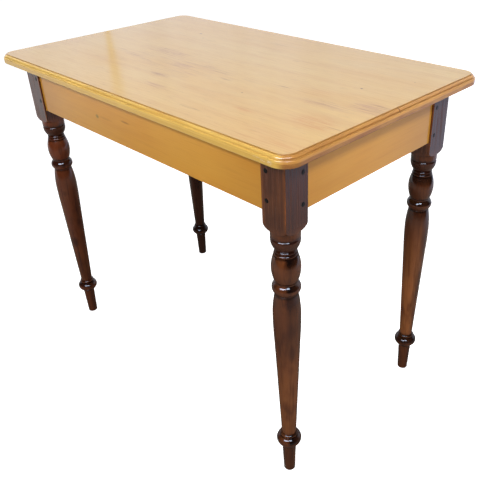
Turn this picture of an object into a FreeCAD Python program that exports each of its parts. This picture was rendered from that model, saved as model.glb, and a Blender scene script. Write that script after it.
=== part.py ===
import FreeCAD, Part
import math
import os
import re
import Sketcher

# Tavern table: a two-board top with a moulded edge, four turned legs, four tenoned and pegged rails.
# Millimetres. X runs along the table, Y across it, Z up; the origin is on the floor under the centre.

SIZES = {
    # Top
    "table_height": 750,
    "top_length": 924,
    "top_width": 549,
    "top_thickness": 21,
    "front_board_width": 279,
    "corner_radius": 31,
    # Moulded edge of the top, with insets taken from its outermost line
    "field_inset": 8,
    "field_step": 2,
    "field_ease": 0.6,
    "bead_inset": 2.8,
    "bead_height": 5.4,
    "nose_high_radius": 2.2,
    "nose_low_radius": 2.5,
    "edge_flat": 0.5,
    # Overhang of the top past the legs' outer faces
    "end_overhang": 41,
    "side_overhang": 39.5,
    # Square head of the leg, and the turned shoulder under it
    "leg_square": 53.6,
    "head_length": 128.5,
    "head_ease": 1.2,
    "shoulder_height": 14.5,
    # Turnings from the head down
    "collar_radius": 26.2,
    "collar_height": 13,
    "quirk_radius": 24.8,
    "quirk_height": 2,
    "cup_radius": 26.4,
    "cup_shoulder": 3.3,
    "cup_height": 20.7,
    "cup_low_radius": 18.2,
    "neck_radius": 17.8,
    "neck_bead_radius": 20,
    "neck_bead_height": 6,
    "vase_bead_radius": 21.4,
    "vase_bead_height": 6,
    "vase_top_radius": 21.8,
    "vase_upper_height": 25,
    "vase_radius": 26.4,
    "vase_lower_height": 28.5,
    "waist_radius": 20.5,
    "waist_height": 26.4,
    "ring_radius": 26.2,
    "ring_height": 26.8,
    "shaft_top_radius": 21.2,
    "shaft_shoulder_height": 48,
    "shaft_radius": 26,
    "shaft_swell_height": 62,
    "shaft_knee_radius": 24.1,
    # Turnings from the floor up
    "foot_radius": 11.8,
    "foot_ease": 1.2,
    "foot_height": 73,
    "ankle_radius": 14.4,
    "ankle_ring_radius": 16.7,
    "ankle_ring_height": 4.4,
    "ball_radius": 25.2,
    "ball_height": 24.4,
    "ball_ring_radius": 18.2,
    "ball_ring_height": 7,
    "shaft_low_radius": 14.7,
    # Rails and their tenons
    "rail_depth": 110,
    "rail_thickness": 22,
    "rail_setback": 4,
    "rail_ease": 1,
    "tenon_thickness": 8,
    "tenon_top_shoulder": 22,
    "tenon_low_shoulder": 6,
    "tenon_wall": 2.6,
    "mortise_play": 0.1,
    "mortise_end_room": 1,
    # Pegs through the tenons
    "peg_diameter": 8.6,
    "peg_inset": 12,
    "long_peg_top_margin": 12.7,
    "long_peg_low_margin": 16.5,
    "peg_top_margin": 16.5,
    "peg_low_margin": 8.4,
    "peg_wall": 3.4,
    "peg_end_room": 0.5,
    "peg_proud": 0.6,
    "peg_crown_diameter": 6.4,
    "peg_play": 0.05,
    # Dowels between the two boards
    "dowel_diameter": 8,
    "dowel_length": 40,
    "dowel_end_margin": 90,
    "dowel_end_room": 1,
    "dowel_play": 0.05,
    # Buttons that hold the top down, and their screws
    "button_length": 28,
    "button_width": 32,
    "button_thickness": 20,
    "tongue_thickness": 9,
    "tongue_reach": 8,
    "button_gap": 2,
    "slot_room": 2,
    "screw_diameter": 4,
    "screw_bite": 12,
    "screw_point": 4,
    "screw_head_diameter": 8,
    "screw_head_height": 2.4,
    "screw_slot_width": 1,
    "screw_slot_depth": 0.9,
    "screw_play": 0.05,
}
DOWEL_COUNT = 5

# Sides and corners, in the order that quarter turns carry the first of them round to the others
SIDES = ("front", "right", "back", "left")
CORNERS = ("front_right", "back_right", "back_left", "front_left")
# Names of the buttons along each side, as one stands before that side
BUTTONS = {
    "front": ("left", "middle", "right"),
    "right": ("front", "back"),
    "back": ("right", "middle", "left"),
    "left": ("back", "front"),
}

# Formulas that several pieces share, in the words of the sheet
LEG_TOP = "(table_height - top_thickness)"
LEG_X = "(top_length / 2 - end_overhang - leg_square / 2)"
LEG_Y = "(top_width / 2 - side_overhang - leg_square / 2)"
HEAD_LOW = f"({LEG_TOP} - head_length - shoulder_height)"
RAIL_LOW = f"({LEG_TOP} - rail_depth)"
RAIL_CENTRE = "(rail_setback + rail_thickness / 2)"
TENON_LENGTH = f"(leg_square - {RAIL_CENTRE} - tenon_thickness / 2 - tenon_wall)"
TENON_LOW = f"({RAIL_LOW} + tenon_low_shoulder)"
TENON_HIGH = f"({LEG_TOP} - tenon_top_shoulder)"
# Heights of the pegs, which lie lower in the end rails than in the long ones
LONG_PEGS = (f"({TENON_HIGH} - long_peg_top_margin)", f"({TENON_LOW} + long_peg_low_margin)")
END_PEGS = (f"({TENON_HIGH} - peg_top_margin)", f"({TENON_LOW} + peg_low_margin)")
PEG_LENGTH = "(leg_square - peg_inset - peg_diameter / 2 - peg_wall)"
BAND_HIGH = f"({LEG_TOP} + top_thickness - field_step - bead_height)"
BEAD_HIGH = f"({LEG_TOP} + top_thickness - field_step)"
BOARD_JOINT = "(front_board_width - top_width / 2)"
TONGUE_HIGH = f"({LEG_TOP} - button_thickness + tongue_thickness)"

doc = FreeCAD.newDocument("TavernTable")
sheet = doc.addObject("Spreadsheet::Sheet", "Size")
for row, (size_name, number) in enumerate(SIZES.items(), start=1):
    sheet.set(f"A{row}", size_name.replace("_", " "))
    sheet.set(f"B{row}", str(number))
    sheet.setAlias(f"B{row}", size_name)
doc.recompute()


# Sizes from the sheet

def in_sheet(formula):
    """The formula with the name of each size pointing at its cell."""
    def cell(word):
        return "Size." + word.group() if word.group() in SIZES else word.group()
    return re.sub(r"[a-z_]+", cell, formula)


def value(formula):
    return float(sheet.evalExpression(in_sheet(formula)))


def bind(piece, **formulas):
    for name, formula in formulas.items():
        piece.setExpression(name, in_sheet(formula))


def place(piece, x, y, z, quarters=0):
    """Turns a piece by quarters about the upright axis and moves it."""
    turn = FreeCAD.Rotation(FreeCAD.Vector(0, 0, 1), 90 * quarters)
    piece.Placement = FreeCAD.Placement(FreeCAD.Vector(), turn)
    for axis, formula in zip("xyz", (x, y, z)):
        piece.setExpression("Placement.Base." + axis, in_sheet(formula))


def turned_point(quarters, along, out):
    """Where a point of the front side, along it and out from the middle, lies on another side."""
    return [(along, f"-{out}"), (out, along), (f"-{along}", out), (f"-{out}", f"-{along}")][quarters]


def stack(start, sign, *steps):
    """Heights reached one after another from a start."""
    heights = [start]
    for step in steps:
        heights.append(f"({heights[-1]} {sign} {step})")
    return heights[1:]


# Primitives and booleans

def box(name, centre, sides):
    piece = doc.addObject("Part::Box", name)
    bind(piece, Length=sides[0], Width=sides[1], Height=sides[2])
    place(piece, *[f"{middle} - {side} / 2" for middle, side in zip(centre, sides)])
    return piece


def round_bar(name, start, direction, low_diameter, high_diameter, length):
    """A cylinder, or a cone where its two diameters differ, from a point along a direction."""
    kind = "Part::Cylinder" if low_diameter == high_diameter else "Part::Cone"
    piece = doc.addObject(kind, name)
    if kind == "Part::Cylinder":
        bind(piece, Radius=f"({low_diameter}) / 2", Height=length)
    else:
        bind(piece, Radius1=f"({low_diameter}) / 2", Radius2=f"({high_diameter}) / 2", Height=length)
    place(piece, *start)
    piece.Placement.Rotation = FreeCAD.Rotation(FreeCAD.Vector(0, 0, 1), FreeCAD.Vector(*direction))
    return piece


def joined(name, pieces):
    piece = doc.addObject("Part::MultiFuse", name)
    piece.Shapes = pieces
    return piece


def cut(name, base, tool):
    piece = doc.addObject("Part::Cut", name)
    piece.Base = base
    piece.Tool = tool
    return piece


def group(name, pieces):
    piece = doc.addObject("Part::Compound", name)
    piece.Links = pieces
    return piece


# Sketches and features of a body

# Numbers by which a sketch knows its own axes, and the points of a line or an arc
LEVEL_AXIS, UPRIGHT_AXIS = range(-1, -3, -1)
START, END, CENTRE = range(1, 4)
ORIGIN = (LEVEL_AXIS, START)


def sketch_on(body, plane, name, height=None):
    sketch = body.newObject("Sketcher::SketchObject", name)
    planes = [feature for feature in body.Origin.OriginFeatures if feature.Role == plane]
    sketch.AttachmentSupport = (planes[0], [""])
    sketch.MapMode = "FlatFace"
    if height:
        sketch.setExpression("AttachmentOffset.Base.z", in_sheet(height))
    return sketch


def add_line(sketch, start, end):
    sketch.addGeometry(Part.LineSegment(FreeCAD.Vector(*start, 0), FreeCAD.Vector(*end, 0)))


def add_arc(sketch, centre, radius, start_angle, end_angle):
    circle = Part.Circle(FreeCAD.Vector(*centre, 0), FreeCAD.Vector(0, 0, 1), radius)
    sketch.addGeometry(Part.ArcOfCircle(circle, start_angle, end_angle))


def add_loop(sketch, points):
    for start, end in zip(points, points[1:] + points[:1]):
        add_line(sketch, start, end)


def constrain(sketch, kind, *references, formula=None):
    """One constraint of a sketch, with its number bound to the sheet where it has one."""
    if formula is None:
        sketch.addConstraint(Sketcher.Constraint(kind, *references))
        return
    index = sketch.addConstraint(Sketcher.Constraint(kind, *references, value(formula)))
    sketch.setExpression(f"Constraints[{index}]", in_sheet(formula))


def close_loop(sketch, count=4):
    for index in range(count):
        constrain(sketch, "Coincident", index, END, (index + 1) % count, START)


def rectangle(sketch, middle, width, low, high):
    """A rectangle between two heights, about a place to the side of the sketch's origin."""
    left, right = f"({middle} - {width} / 2)", f"({middle} + {width} / 2)"
    corners = [(left, low), (right, low), (right, high), (left, high)]
    add_loop(sketch, [(value(across), value(height)) for across, height in corners])
    close_loop(sketch)
    constrain(sketch, "Horizontal", 0)
    constrain(sketch, "Vertical", 1)
    constrain(sketch, "Horizontal", 2)
    constrain(sketch, "Vertical", 3)
    constrain(sketch, "DistanceX", *ORIGIN, 0, START, formula=left)
    constrain(sketch, "DistanceX", 0, START, 0, END, formula=width)
    constrain(sketch, "DistanceY", *ORIGIN, 0, START, formula=low)
    constrain(sketch, "DistanceY", *ORIGIN, 2, START, formula=high)


def rounded_rectangle(sketch, length, width, radius):
    """A rectangle about the origin with four equal round corners."""
    half_x, half_y, round_off = value(length) / 2, value(width) / 2, value(radius)
    x, y = half_x - round_off, half_y - round_off
    for index, centre in enumerate([(x, -y), (x, y), (-x, y), (-x, -y)]):
        first_angle = (index - 1) * math.pi / 2
        add_arc(sketch, centre, round_off, first_angle, first_angle + math.pi / 2)
    add_line(sketch, (half_x, -y), (half_x, y))
    add_line(sketch, (x, half_y), (-x, half_y))
    add_line(sketch, (-half_x, y), (-half_x, -y))
    add_line(sketch, (-x, -half_y), (x, -half_y))
    for index in range(4):
        constrain(sketch, "Tangent", index, END, index + 4, START)
        constrain(sketch, "Tangent", index + 4, END, (index + 1) % 4, START)
        constrain(sketch, "Horizontal" if index % 2 else "Vertical", index + 4)
    for index in range(1, 4):
        constrain(sketch, "Equal", 0, index)
    constrain(sketch, "Symmetric", 0, CENTRE, 2, CENTRE, *ORIGIN)
    constrain(sketch, "Radius", 0, formula=radius)
    constrain(sketch, "DistanceX", 6, START, 4, START, formula=length)
    constrain(sketch, "DistanceY", 7, START, 5, START, formula=width)


def pad(body, sketch, name, length, symmetric=False):
    feature = body.newObject("PartDesign::Pad", name)
    feature.Profile = sketch
    feature.SideType = "Symmetric" if symmetric else "One side"
    bind(feature, Length=length)
    doc.recompute()
    return feature


def revolve(body, sketch, name, kind="Revolution"):
    feature = body.newObject("PartDesign::" + kind, name)
    feature.Profile = sketch
    feature.ReferenceAxis = (sketch, ["V_Axis"])
    feature.Angle = 360
    doc.recompute()
    return feature


def fillet(body, name, radius, chosen):
    """Rounds those edges of a body that chosen says yes to."""
    base = body.Tip
    numbers = [number for number, edge in enumerate(base.Shape.Edges, start=1) if chosen(edge.BoundBox)]
    feature = body.newObject("PartDesign::Fillet", name)
    feature.Base = (base, [f"Edge{number}" for number in numbers])
    bind(feature, Radius=radius)
    doc.recompute()
    return feature


def near(first, second):
    return abs(first - second) < 0.001


def level_at(height):
    """Says yes to an edge that lies wholly at one height."""
    level = value(height)
    return lambda edge: near(edge.ZMin, level) and near(edge.ZMax, level)


def is_upright(edge):
    return near(edge.XLength, 0) and near(edge.YLength, 0)


# Top: a blank of three stacked outlines with rounded rims, cut in two along the board joint

def outline_pad(body, name, inset, low, thickness):
    sketch = sketch_on(body, "XY_Plane", name + "_outline", height=low)
    length, width = f"top_length - 2 * {inset}", f"top_width - 2 * {inset}"
    rounded_rectangle(sketch, length, width, f"corner_radius - {inset}")
    pad(body, sketch, name, thickness)


def top_blank():
    body = doc.addObject("PartDesign::Body", "top_blank")
    band = f"({BAND_HIGH} - {LEG_TOP})"
    outline_pad(body, "edge_band", "0", LEG_TOP, band)
    low_limit = f"{band} - nose_high_radius - edge_flat"
    fillet(body, "nose_below", f"min(nose_low_radius; {low_limit})", level_at(LEG_TOP))
    fillet(body, "nose_above", "min(nose_high_radius; bead_inset - edge_flat)", level_at(BAND_HIGH))
    outline_pad(body, "edge_bead", "bead_inset", BAND_HIGH, "bead_height")
    fillet(body, "bead_round", "min(bead_height; field_inset - bead_inset) - edge_flat", level_at(BEAD_HIGH))
    outline_pad(body, "field", "field_inset", BEAD_HIGH, "field_step")
    fillet(body, "field_rim", "min(field_ease; field_step / 2)", level_at("table_height"))
    return body


def dowel_places():
    """X of each dowel, evenly spaced between the end margins."""
    span = "(top_length - 2 * dowel_end_margin)"
    return [f"({span} * {index / (DOWEL_COUNT - 1) - 0.5})" for index in range(DOWEL_COUNT)]


def dowel(name, place_x, diameter, length):
    start = (place_x, f"{BOARD_JOINT} - {length} / 2", f"{LEG_TOP} + top_thickness / 2")
    return round_bar(name, start, (0, 1, 0), diameter, diameter, length)


def pilot_hole(name, x, y):
    """A hole for a button's screw, up into the underside of the top."""
    diameter = "(screw_diameter + 2 * screw_play)"
    start = (x, y, f"{LEG_TOP} - screw_bite")
    return round_bar(name, start, (0, 0, 1), diameter, diameter, "2 * screw_bite")


def board(name, blank, centre_y, width, holes):
    bounds = box(name + "_width", ("0", centre_y, "table_height"), ("top_length", width, "2 * top_thickness"))
    plank = doc.addObject("Part::Common", name + "_plank")
    plank.Base = blank
    plank.Tool = bounds
    return cut(name, plank, holes)


def top_pieces():
    blank = top_blank()
    dowels = []
    holes = []
    hole_size = ("(dowel_diameter + 2 * dowel_play)", "(dowel_length + 2 * dowel_end_room)")
    for index, place_x in enumerate(dowel_places()):
        dowels.append(dowel(f"dowel_{index}", place_x, "dowel_diameter", "dowel_length"))
        holes.append(dowel(f"dowel_hole_{index}", place_x, *hole_size))
    for quarters, side in enumerate(SIDES):
        for index, name in enumerate(BUTTONS[side]):
            x, y = turned_point(quarters, *button_place(side, index))
            holes.append(pilot_hole(f"pilot_{side}_{name}", x, y))
    all_holes = joined("top_holes", holes)
    front_centre = f"({BOARD_JOINT} - front_board_width / 2)"
    back_width = "(top_width - front_board_width)"
    back_centre = f"({BOARD_JOINT} + {back_width} / 2)"
    return [
        board("top_board_front", blank, front_centre, "front_board_width", all_holes),
        board("top_board_back", blank, back_centre, back_width, all_holes),
        group("top_dowels", dowels),
    ]


# Legs: the same turned piece at each corner, a quarter turn on

def arc_between(sketch, low_point, high_point, crown):
    """The bulging side of a turning, fullest at its high end, at its low end or in the middle."""
    (low_radius, low), (high_radius, high) = low_point, high_point
    centre = (low_radius, (low + high) / 2)
    if crown != "middle":
        rise = abs(high_radius - low_radius)
        sweep = (rise ** 2 + (high - low) ** 2) / (2 * rise)
        centre = (max(low_radius, high_radius) - sweep, high if crown == "high" else low)
    start_angle = math.atan2(low - centre[1], low_radius - centre[0])
    end_angle = math.atan2(high - centre[1], high_radius - centre[0])
    add_arc(sketch, centre, math.dist(centre, low_point), start_angle, end_angle)


def hold_arc(sketch, index, crown):
    """Keeps an arc's centre level with its crown, or straight in from the foot of a bead."""
    if crown == "middle":
        constrain(sketch, "Vertical", index, START, index, CENTRE)
    else:
        constrain(sketch, "Horizontal", index, CENTRE, index, END if crown == "high" else START)


def turning(body, name, low, high, low_radius, high_radius, crown=None):
    """One turned element about the leg's axis, with a straight or a bulging side."""
    low_point = (value(low_radius), value(low))
    high_point = (value(high_radius), value(high))
    sketch = sketch_on(body, "XZ_Plane", name + "_profile")
    add_line(sketch, (0, low_point[1]), low_point)
    if crown:
        arc_between(sketch, low_point, high_point, crown)
    else:
        add_line(sketch, low_point, high_point)
    add_line(sketch, high_point, (0, high_point[1]))
    add_line(sketch, (0, high_point[1]), (0, low_point[1]))
    close_loop(sketch)
    constrain(sketch, "Horizontal", 0)
    constrain(sketch, "Horizontal", 2)
    constrain(sketch, "PointOnObject", 2, END, UPRIGHT_AXIS)
    if low == "0":
        constrain(sketch, "Coincident", 0, START, *ORIGIN)
    else:
        constrain(sketch, "PointOnObject", 0, START, UPRIGHT_AXIS)
        constrain(sketch, "DistanceY", *ORIGIN, 0, START, formula=low)
    constrain(sketch, "DistanceY", *ORIGIN, 2, END, formula=high)
    constrain(sketch, "DistanceX", 0, START, 0, END, formula=low_radius)
    constrain(sketch, "DistanceX", 2, END, 2, START, formula=high_radius)
    if crown:
        hold_arc(sketch, 1, crown)
    revolve(body, sketch, name)


def bead(body, name, low, height, radius):
    """A half-round ring that stands on a height."""
    root = f"({radius} - {height} / 2)"
    turning(body, name, low, f"({low} + {height})", root, root, "middle")


def turned_shoulder(body):
    """Rounds the lower corners of the head on the lathe, down to the collar."""
    high = f"({HEAD_LOW} + shoulder_height)"
    corner = "(leg_square / 2 * sqrt(2))"
    clear = "(leg_square + shoulder_height)"
    low_point = (value("collar_radius"), value(HEAD_LOW))
    high_point = (value(corner), value(high))
    outer_high = (value(clear), high_point[1])
    outer_low = (value(clear), low_point[1])
    sketch = sketch_on(body, "XZ_Plane", "shoulder_profile")
    arc_between(sketch, low_point, high_point, "high")
    add_line(sketch, high_point, outer_high)
    add_line(sketch, outer_high, outer_low)
    add_line(sketch, outer_low, low_point)
    close_loop(sketch)
    hold_arc(sketch, 0, "high")
    constrain(sketch, "Horizontal", 1)
    constrain(sketch, "Vertical", 2)
    constrain(sketch, "Horizontal", 3)
    constrain(sketch, "DistanceX", *ORIGIN, 0, START, formula="collar_radius")
    constrain(sketch, "DistanceY", *ORIGIN, 0, START, formula=HEAD_LOW)
    constrain(sketch, "DistanceX", *ORIGIN, 0, END, formula=corner)
    constrain(sketch, "DistanceY", *ORIGIN, 0, END, formula=high)
    constrain(sketch, "DistanceX", *ORIGIN, 2, START, formula=clear)
    before = body.Tip.Shape.Volume
    groove = revolve(body, sketch, "shoulder", kind="Groove")
    if groove.Shape.Volume >= before:
        raise RuntimeError("the shoulder took nothing off the head")


def leg_head(body):
    sketch = sketch_on(body, "XZ_Plane", "head_outline")
    rectangle(sketch, "0", "leg_square", HEAD_LOW, LEG_TOP)
    pad(body, sketch, "head", "leg_square", symmetric=True)
    fillet(body, "arrises", "head_ease", is_upright)
    turned_shoulder(body)


def upper_turnings(body):
    """Collar, cup, neck, vase and ring, from the head down, and the shaft's swelling end."""
    steps = ("collar_height", "quirk_height", "cup_shoulder", "cup_height")
    collar_low, quirk_low, cup_crown, cup_low = stack(HEAD_LOW, "-", *steps)
    steps = ("neck_bead_height", "vase_bead_height", "vase_upper_height", "vase_lower_height")
    neck_bead_low, vase_high, vase_crown, vase_low = stack(cup_low, "-", *steps)
    steps = ("waist_height", "shaft_shoulder_height", "shaft_swell_height")
    shaft_high, shaft_crown, shaft_knee = stack(vase_low, "-", *steps)
    turning(body, "collar", collar_low, HEAD_LOW, "collar_radius", "collar_radius")
    turning(body, "quirk", quirk_low, collar_low, "quirk_radius", "quirk_radius")
    turning(body, "cup_rim", cup_crown, quirk_low, "cup_radius", "quirk_radius", "low")
    turning(body, "cup", cup_low, cup_crown, "cup_low_radius", "cup_radius", "high")
    turning(body, "neck", vase_high, cup_low, "neck_radius", "neck_radius")
    bead(body, "neck_bead", neck_bead_low, "neck_bead_height", "neck_bead_radius")
    bead(body, "vase_bead", vase_high, "vase_bead_height", "vase_bead_radius")
    turning(body, "vase_upper", vase_crown, vase_high, "vase_radius", "vase_top_radius", "low")
    turning(body, "vase_lower", vase_low, vase_crown, "waist_radius", "vase_radius", "high")
    turning(body, "waist", shaft_high, vase_low, "waist_radius", "waist_radius")
    bead(body, "ring", f"({shaft_high} + (waist_height - ring_height) / 2)", "ring_height", "ring_radius")
    turning(body, "shaft_shoulder", shaft_crown, shaft_high, "shaft_radius", "shaft_top_radius", "low")
    turning(body, "shaft_swell", shaft_knee, shaft_crown, "shaft_knee_radius", "shaft_radius", "high")
    return shaft_knee


def lower_turnings(body, shaft_knee):
    """The shaft's long taper, the ball between its small rings, and the foot."""
    steps = ("foot_height", "ankle_ring_height", "ball_height", "ball_ring_height")
    foot_high, ball_low, ball_high, shaft_low = stack("0", "+", *steps)
    turning(body, "shaft_taper", shaft_low, shaft_knee, "shaft_low_radius", "shaft_knee_radius")
    turning(body, "ankle", foot_high, shaft_low, "ankle_radius", "ankle_radius")
    bead(body, "ball_ring", ball_high, "ball_ring_height", "ball_ring_radius")
    bead(body, "ball", ball_low, "ball_height", "ball_radius")
    bead(body, "ankle_ring", foot_high, "ankle_ring_height", "ankle_ring_radius")
    turning(body, "foot", "0", foot_high, "foot_radius", "ankle_radius")
    fillet(body, "foot_edge", "foot_ease", level_at("0"))


def mortises():
    """Two slots for the tenons, from the inner faces of the front right leg about its own axis."""
    depth = f"(2 * ({TENON_LENGTH} + mortise_end_room))"
    thickness = "(tenon_thickness + 2 * mortise_play)"
    height = f"({TENON_HIGH} - {TENON_LOW} + 2 * mortise_play)"
    middle = f"(({TENON_HIGH} + {TENON_LOW}) / 2)"
    face = "leg_square / 2"
    inset = f"(leg_square / 2 - {RAIL_CENTRE})"
    return [
        box("mortise_long", (f"-{face}", f"-{inset}", middle), (depth, thickness, height)),
        box("mortise_end", (inset, face, middle), (thickness, depth, height)),
    ]


def peg_set(name, make, front_heights, side_heights):
    """What make gives at the four pegs of a leg's two outer faces, about its own axis."""
    face = "leg_square / 2"
    inset = "(leg_square / 2 - peg_inset)"
    pieces = []
    for level, front_height, side_height in zip(("high", "low"), front_heights, side_heights):
        front_start = (f"-{inset}", f"-{face}", front_height)
        side_start = (face, inset, side_height)
        pieces.append(make(f"{name}_front_{level}", front_start, (0, 1, 0)))
        pieces.append(make(f"{name}_side_{level}", side_start, (-1, 0, 0)))
    return pieces


def further(start, direction, distance):
    """A point that lies a distance along a direction, as formulas."""
    return [f"{place_at} + {step} * {distance}" for place_at, step in zip(start, direction)]


def peg_hole(name, start, direction):
    diameter = "(peg_diameter + 2 * peg_play)"
    outside = further(start, direction, f"(-{PEG_LENGTH})")
    return round_bar(name, outside, direction, diameter, diameter, f"2 * {PEG_LENGTH} + peg_end_room")


def peg(name, start, direction):
    """A peg whose crowned end stands a little proud of the leg."""
    shank = round_bar(name + "_shank", start, direction, "peg_diameter", "peg_diameter", PEG_LENGTH)
    outwards = [-step for step in direction]
    crown = round_bar(name + "_crown", start, outwards, "peg_diameter", "peg_crown_diameter", "peg_proud")
    return joined(name, [shank, crown])


def leg_pieces():
    body = doc.addObject("PartDesign::Body", "turned_leg")
    leg_head(body)
    lower_turnings(body, upper_turnings(body))
    slots = mortises()
    holes = []
    pegs = []
    # A quarter turn brings the face of a long rail to an end, so every other leg has its pegs swapped
    for hand, heights in enumerate([(LONG_PEGS, END_PEGS), (END_PEGS, LONG_PEGS)]):
        hand_holes = peg_set(f"leg_hole_{hand}", peg_hole, *heights)
        holes.append(joined(f"leg_holes_{hand}", slots + hand_holes))
        pegs.append(peg_set(f"peg_{hand}", peg, *heights))
    pieces = []
    for quarters, corner in enumerate(CORNERS):
        leg = cut("leg_" + corner, body, holes[quarters % 2])
        leg_pegs = group("pegs_" + corner, pegs[quarters % 2])
        side_x = -1 if corner.endswith("left") else 1
        side_y = -1 if corner.startswith("front") else 1
        for piece in (leg, leg_pegs):
            place(piece, f"{side_x} * {LEG_X}", f"{side_y} * {LEG_Y}", "0", quarters)
        pieces += [leg, leg_pegs]
    return pieces


# Rails: made as the front side's, then turned to the side that they close

def rail_reach(side):
    """How far the legs' axes stand along this side, and out from the middle of the table."""
    return (LEG_X, LEG_Y) if side in ("front", "back") else (LEG_Y, LEG_X)


def button_place(side, index):
    """Where a button's screw stands, along its side and out from the middle of the table."""
    leg_along, leg_out = rail_reach(side)
    share = (2 * index + 1) / len(BUTTONS[side]) - 1
    inner_face = f"({leg_out} + leg_square / 2 - rail_setback - rail_thickness)"
    return f"({leg_along} * {share})", f"({inner_face} - button_gap - button_length / 2)"


def rail_body(name, half_span, rail_out):
    body = doc.addObject("PartDesign::Body", name + "_body")
    sketch = sketch_on(body, "YZ_Plane", name + "_section")
    rectangle(sketch, f"-{rail_out}", "rail_thickness", RAIL_LOW, LEG_TOP)
    pad(body, sketch, name + "_length", f"2 * {half_span}", symmetric=True)
    lower_edge = level_at(RAIL_LOW)
    ease = "min(rail_ease; rail_thickness / 4)"
    fillet(body, name + "_arrises", ease, lambda edge: lower_edge(edge) and edge.XLength > edge.YLength)
    return body


def rail_slots(name, side, inner_face):
    """Slots in the inner face that the buttons' tongues reach into."""
    depth = "(2 * (tongue_reach - button_gap + slot_room))"
    height = "(tongue_thickness + slot_room)"
    slots = []
    for index in range(len(BUTTONS[side])):
        place_x, _ = button_place(side, index)
        centre = (place_x, f"-{inner_face}", f"{TONGUE_HIGH} - {height} / 2")
        slots.append(box(f"{name}_slot_{index}", centre, ("(button_width + 2 * slot_room)", depth, height)))
    return slots


def rail_pair(name, sides, peg_heights):
    """Two equal rails on opposite sides."""
    leg_along, leg_out = rail_reach(sides[0])
    half_span = f"({leg_along} - leg_square / 2)"
    outer_face = f"({leg_out} + leg_square / 2)"
    rail_out = f"({outer_face} - {RAIL_CENTRE})"
    body = rail_body(name, half_span, rail_out)
    middle = f"(({TENON_HIGH} + {TENON_LOW}) / 2)"
    over_tenons = f"(2 * ({half_span} + {TENON_LENGTH}))"
    tenon_sides = (over_tenons, "tenon_thickness", f"({TENON_HIGH} - {TENON_LOW})")
    tenons = box(name + "_tenons", ("0", f"-{rail_out}", middle), tenon_sides)
    holes = rail_slots(name, sides[0], f"({rail_out} - rail_thickness / 2)")
    for end, sign in (("left", -1), ("right", 1)):
        for level, height in zip(("high", "low"), peg_heights):
            start = (f"{sign} * ({half_span} + peg_inset)", f"-{outer_face}", height)
            holes.append(peg_hole(f"{name}_hole_{end}_{level}", start, (0, 1, 0)))
    blank = joined(name + "_blank", [body, tenons])
    all_holes = joined(name + "_holes", holes)
    rails = []
    for side in sides:
        rail = cut("rail_" + side, blank, all_holes)
        place(rail, "0", "0", "0", SIDES.index(side))
        rails.append(rail)
    return rails


# Buttons and screws: made about the screw's axis with the tongue to the front, then set at their places

def screw_solid(name, play):
    """Countersunk head, shank and point, with room all round where it is to be a hole."""
    low = f"({LEG_TOP} - button_thickness)"
    shank = f"(screw_diameter + 2 * {play})"
    head = f"(screw_head_diameter + 2 * {play})"
    shank_length = "(button_thickness + screw_bite - screw_point)"
    base = ("0", "0", low)
    neck = ("0", "0", f"{low} + {shank_length}")
    upwards = (0, 0, 1)
    return joined(name, [
        round_bar(name + "_head", base, upwards, head, shank, "screw_head_height"),
        round_bar(name + "_shank", base, upwards, shank, shank, shank_length),
        round_bar(name + "_point", neck, upwards, shank, "0", "screw_point"),
    ])


def button_solid():
    middle = f"({LEG_TOP} - button_thickness / 2)"
    block = box("button_block", ("0", "0", middle), ("button_width", "button_length", "button_thickness"))
    tongue_length = "(button_length / 2 + tongue_reach)"
    tongue_centre = ("0", f"-{tongue_length} / 2", f"{TONGUE_HIGH} - tongue_thickness / 2")
    tongue = box("button_tongue", tongue_centre, ("button_width", tongue_length, "tongue_thickness"))
    return joined("button_solid", [block, tongue])


def button_pieces():
    solid = button_solid()
    hole = screw_solid("button_hole", "screw_play")
    screw = screw_solid("screw_solid", "0")
    slot_height = "(2 * screw_slot_depth)"
    slot_sides = ("screw_head_diameter", "screw_slot_width", slot_height)
    slot = box("screw_slot", ("0", "0", f"({LEG_TOP} - button_thickness)"), slot_sides)
    buttons = []
    screws = []
    for quarters, side in enumerate(SIDES):
        for index, name in enumerate(BUTTONS[side]):
            x, y = turned_point(quarters, *button_place(side, index))
            button = cut(f"button_{side}_{name}", solid, hole)
            driven = cut(f"screw_{side}_{name}", screw, slot)
            for piece in (button, driven):
                place(piece, x, y, "0", quarters)
            buttons.append(button)
            screws.append(driven)
    return buttons + [group("button_screws", screws)]


# Whole table

def check_and_write(pieces):
    doc.recompute()
    failed = [item.Name for item in doc.Objects if {"Invalid", "Error"} & set(item.State)]
    failed += [piece.Label for piece in pieces if piece.Shape.isNull() or not piece.Shape.isValid()]
    if failed:
        raise RuntimeError("not built: " + ", ".join(failed))
    os.makedirs("parts", exist_ok=True)
    for piece in pieces:
        piece.Shape.exportStep(f"parts/{piece.Label}.step")
        print(piece.Label, len(piece.Shape.Solids))


long_rails = rail_pair("long_rail", ("front", "back"), LONG_PEGS)
end_rails = rail_pair("end_rail", ("right", "left"), END_PEGS)
check_and_write(top_pieces() + leg_pieces() + long_rails + end_rails + button_pieces())
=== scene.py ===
import math

import bpy
from mathutils import Matrix, Vector


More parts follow.
